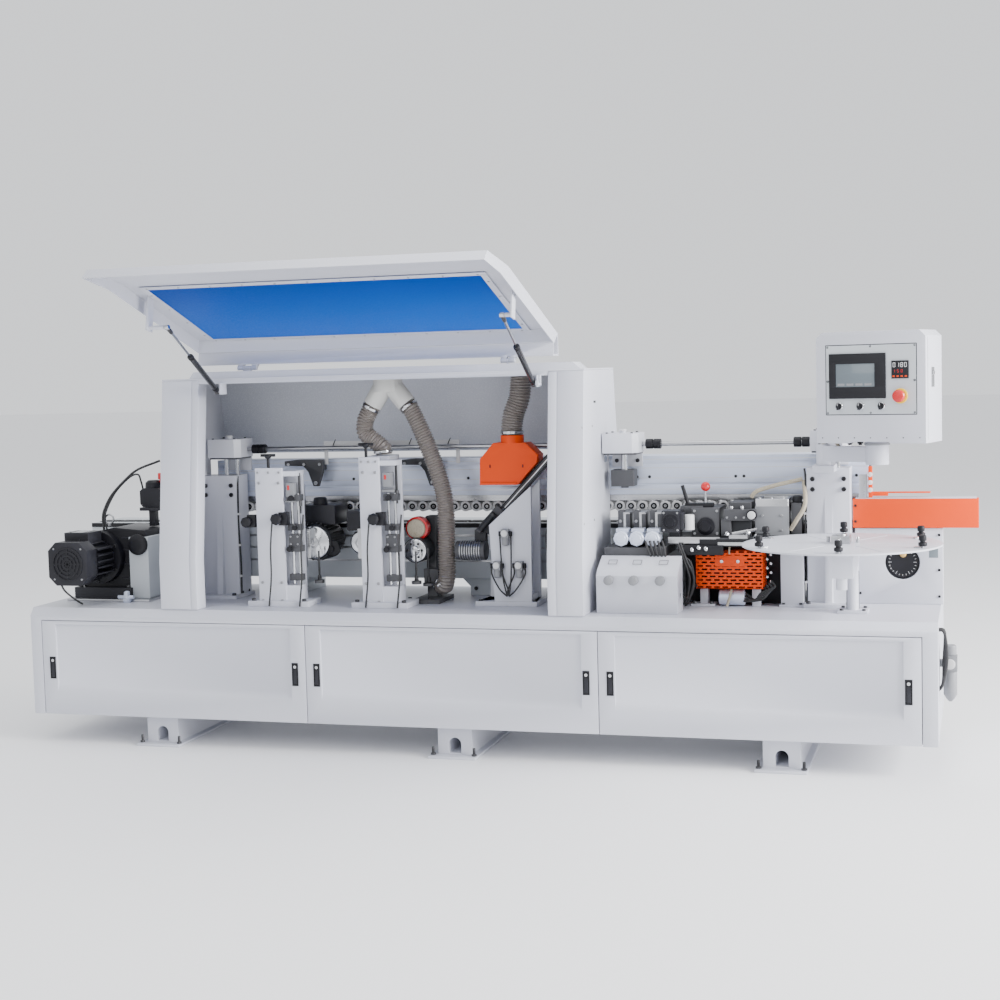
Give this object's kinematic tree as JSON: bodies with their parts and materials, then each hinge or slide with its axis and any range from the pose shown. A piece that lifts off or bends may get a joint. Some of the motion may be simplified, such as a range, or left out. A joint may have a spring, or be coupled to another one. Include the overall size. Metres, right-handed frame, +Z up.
{
  "type": "edge banding machine",
  "caption": "Automatic edge banding machine with a lifting lid over its trimming units, a pressure beam on columns, a tape coil disc and a control box on a swinging arm.",
  "frame": {"origin": "on the floor under the centre of the base cabinet, on the underside of the middle foot", "axes": "+X runs along the machine from the outfeed end to the infeed end, +Y from the operator's side to the back, +Z up"},
  "size_m": [3.737, 1.4927, 1.8718],
  "materials": {
    "white_paint": "white powder coat",
    "grey_paint": "light grey powder coat",
    "orange_paint": "orange powder coat",
    "black_paint": "black enamel",
    "lid_paint": "white powder coat on light sheet",
    "block_paint": "white powder coat on a light casting",
    "dark_casting": "dark cast housings with bright cores",
    "steel": "machined",
    "light_metal": "anodised extrusion",
    "blue_window": "tinted blue sheet",
    "hose_plastic": "ribbed hose",
    "red_plastic": "moulded",
    "black_plastic": "moulded",
    "knob_grey": "moulded, light grey",
    "strut_black": "black gas strut"
  },
  "bodies": {
    "frame": {"base_cabinet": "white_paint", "foot_left": "white_paint", "foot_middle": "white_paint", "foot_right": "white_paint", "conveyor_frame": "grey_paint", "hood_left_side": "white_paint", "hood_right_side": "white_paint", "hood_top": "white_paint", "hood_back_panel": "grey_paint", "column_left": "white_paint", "column_right": "white_paint", "drive_motor": "black_paint", "drive_gearbox": "black_paint", "fine_trim_stand": "white_paint", "rough_trim_stand": "white_paint", "buffing_unit": "dark_casting", "end_trim_stand": "white_paint", "end_trim_rail": "steel", "end_trim_dust_hood": "orange_paint", "extraction_duct": "hose_plastic", "hose_short": "hose_plastic", "hose_long": "hose_plastic", "hose_end_trim": "hose_plastic", "pressure_box": "white_paint", "press_unit": "steel", "tape_table": "dark_casting", "glue_pot": "steel", "glue_cover": "orange_paint", "infeed_housing": "white_paint", "infeed_fence": "orange_paint", "coil_stand": "white_paint"},
    "door_left": {"door_left": "white_paint"},
    "door_middle": {"door_middle": "white_paint"},
    "door_right": {"door_right": "white_paint"},
    "lid": {"lid_frame": "lid_paint", "lid_window": "blue_window"},
    "strut_cylinder_left": {"strut_cylinder_left": "strut_black"},
    "strut_cylinder_right": {"strut_cylinder_right": "strut_black"},
    "strut_rod_left": {"strut_rod_left": "strut_black"},
    "strut_rod_right": {"strut_rod_right": "strut_black"},
    "beam": {"pressure_beam": "light_metal", "roller_strip": "light_metal", "lift_block_left": "block_paint", "lift_block_middle": "block_paint", "lift_block_right": "block_paint"},
    "shaft_long": {"cross_shaft_long": "steel"},
    "shaft_short": {"cross_shaft_short": "steel"},
    "coil_disc": {"coil_disc": "white_paint"},
    "control_arm": {"control_arm": "white_paint"},
    "control_box": {"control_box": "white_paint"},
    "emergency_stop": {"emergency_stop": "red_plastic"},
    "end_trim_carriage": {"end_trim_carriage": "dark_casting"},
    "fine_trim_head": {"fine_trim_head": "dark_casting"},
    "rough_trim_head": {"rough_trim_head": "dark_casting"},
    "selector_1": {"selector_1": "black_plastic"},
    "pressure_knob_1": {"pressure_knob_1": "knob_grey"},
    "selector_2": {"selector_2": "black_plastic"},
    "pressure_knob_2": {"pressure_knob_2": "knob_grey"},
    "selector_3": {"selector_3": "black_plastic"},
    "pressure_knob_3": {"pressure_knob_3": "knob_grey"}
  },
  "joints": [
    {"name": "door_left_pull", "type": "slide", "parent": "frame", "child": "door_left", "axis": [0, -1, 0], "range_m": [0, 0.15]},
    {"name": "door_middle_pull", "type": "slide", "parent": "frame", "child": "door_middle", "axis": [0, -1, 0], "range_m": [0, 0.15]},
    {"name": "door_right_pull", "type": "slide", "parent": "frame", "child": "door_right", "axis": [0, -1, 0], "range_m": [0, 0.15]},
    {"name": "lid_hinge", "type": "hinge", "parent": "frame", "child": "lid", "pos_m": [0, -0.228, 1.514], "axis": [1, 0, 0], "range_deg": [0, 101]},
    {"name": "strut_left_swing", "type": "hinge", "parent": "frame", "child": "strut_cylinder_left", "pos_m": [-0.962, -0.306, 1.424], "axis": [1, 0, 0], "range_deg": [0, 124]},
    {"name": "strut_left_slide", "type": "slide", "parent": "strut_cylinder_left", "child": "strut_rod_left", "axis": [0, -0.8499, 0.527], "range_m": [-0.062, 0]},
    {"name": "strut_right_swing", "type": "hinge", "parent": "frame", "child": "strut_cylinder_right", "pos_m": [0.339, -0.306, 1.424], "axis": [1, 0, 0], "range_deg": [0, 124]},
    {"name": "strut_right_slide", "type": "slide", "parent": "strut_cylinder_right", "child": "strut_rod_right", "axis": [0, -0.8499, 0.527], "range_m": [-0.062, 0]},
    {"name": "beam_lift", "type": "slide", "parent": "frame", "child": "beam", "axis": [0, 0, 1], "range_m": [-0.039, 0.011]},
    {"name": "shaft_long_spin", "type": "hinge", "parent": "beam", "child": "shaft_long", "pos_m": [0, 0.05, 1.176], "axis": [1, 0, 0], "range_deg": [-703, 199]},
    {"name": "shaft_short_spin", "type": "hinge", "parent": "beam", "child": "shaft_short", "pos_m": [0, 0.05, 1.176], "axis": [1, 0, 0], "range_deg": [-703, 199]},
    {"name": "coil_disc_spin", "type": "hinge", "parent": "frame", "child": "coil_disc", "pos_m": [1.472, -0.392, 0.832], "axis": [0, 0, 1], "continuous": true},
    {"name": "control_arm_swing", "type": "hinge", "parent": "frame", "child": "control_arm", "pos_m": [1.384, -0.08, 1.0943], "axis": [0, 0, 1], "range_deg": [-50, 0]},
    {"name": "control_box_swivel", "type": "hinge", "parent": "control_arm", "child": "control_box", "pos_m": [1.586, -0.19, 1.189], "axis": [0, 0, 1], "range_deg": [0, 60]},
    {"name": "emergency_stop_push", "type": "slide", "parent": "control_box", "child": "emergency_stop", "axis": [0.2588, 0.9659, 0], "range_m": [0, 0.006], "stiffness_N_per_m": 600, "springref_m": -0.002},
    {"name": "selector_1_turn", "type": "hinge", "parent": "control_box", "child": "selector_1", "pos_m": [1.4602, -0.2547, 1.3159], "axis": [0.2588, 0.9659, 0], "range_deg": [-45, 45]},
    {"name": "selector_2_turn", "type": "hinge", "parent": "control_box", "child": "selector_2", "pos_m": [1.5349, -0.2747, 1.3159], "axis": [0.2588, 0.9659, 0], "range_deg": [-45, 45]},
    {"name": "selector_3_turn", "type": "hinge", "parent": "control_box", "child": "selector_3", "pos_m": [1.6096, -0.2947, 1.3159], "axis": [0.2588, 0.9659, 0], "range_deg": [-45, 45]},
    {"name": "pressure_knob_1_turn", "type": "hinge", "parent": "frame", "child": "pressure_knob_1", "pos_m": [0.611, -0.29, 0.686], "axis": [0, 1, 0], "range_deg": [-150, 150]},
    {"name": "pressure_knob_2_turn", "type": "hinge", "parent": "frame", "child": "pressure_knob_2", "pos_m": [0.705, -0.29, 0.686], "axis": [0, 1, 0], "range_deg": [-150, 150]},
    {"name": "pressure_knob_3_turn", "type": "hinge", "parent": "frame", "child": "pressure_knob_3", "pos_m": [0.805, -0.29, 0.686], "axis": [0, 1, 0], "range_deg": [-150, 150]},
    {"name": "end_trim_feed", "type": "slide", "parent": "frame", "child": "end_trim_carriage", "axis": [0.6861, 0, 0.7275], "range_m": [0, 0.09]},
    {"name": "fine_trim_height", "type": "slide", "parent": "frame", "child": "fine_trim_head", "axis": [0, 0, 1], "range_m": [-0.01, 0.01]},
    {"name": "rough_trim_height", "type": "slide", "parent": "frame", "child": "rough_trim_head", "axis": [0, 0, 1], "range_m": [-0.01, 0.01]}
  ],
  "couplings": [
    {"joint": "strut_left_swing", "follows": "lid_hinge", "ratio": 1.2267},
    {"joint": "strut_left_slide", "follows": "lid_hinge", "m_per_rad": -0.0345},
    {"joint": "strut_right_swing", "follows": "lid_hinge", "ratio": 1.2267},
    {"joint": "strut_right_slide", "follows": "lid_hinge", "m_per_rad": -0.0345},
    {"joint": "shaft_long_spin", "follows": "beam_lift", "rad_per_m": 314.16},
    {"joint": "shaft_short_spin", "follows": "beam_lift", "rad_per_m": 314.16}
  ]
}
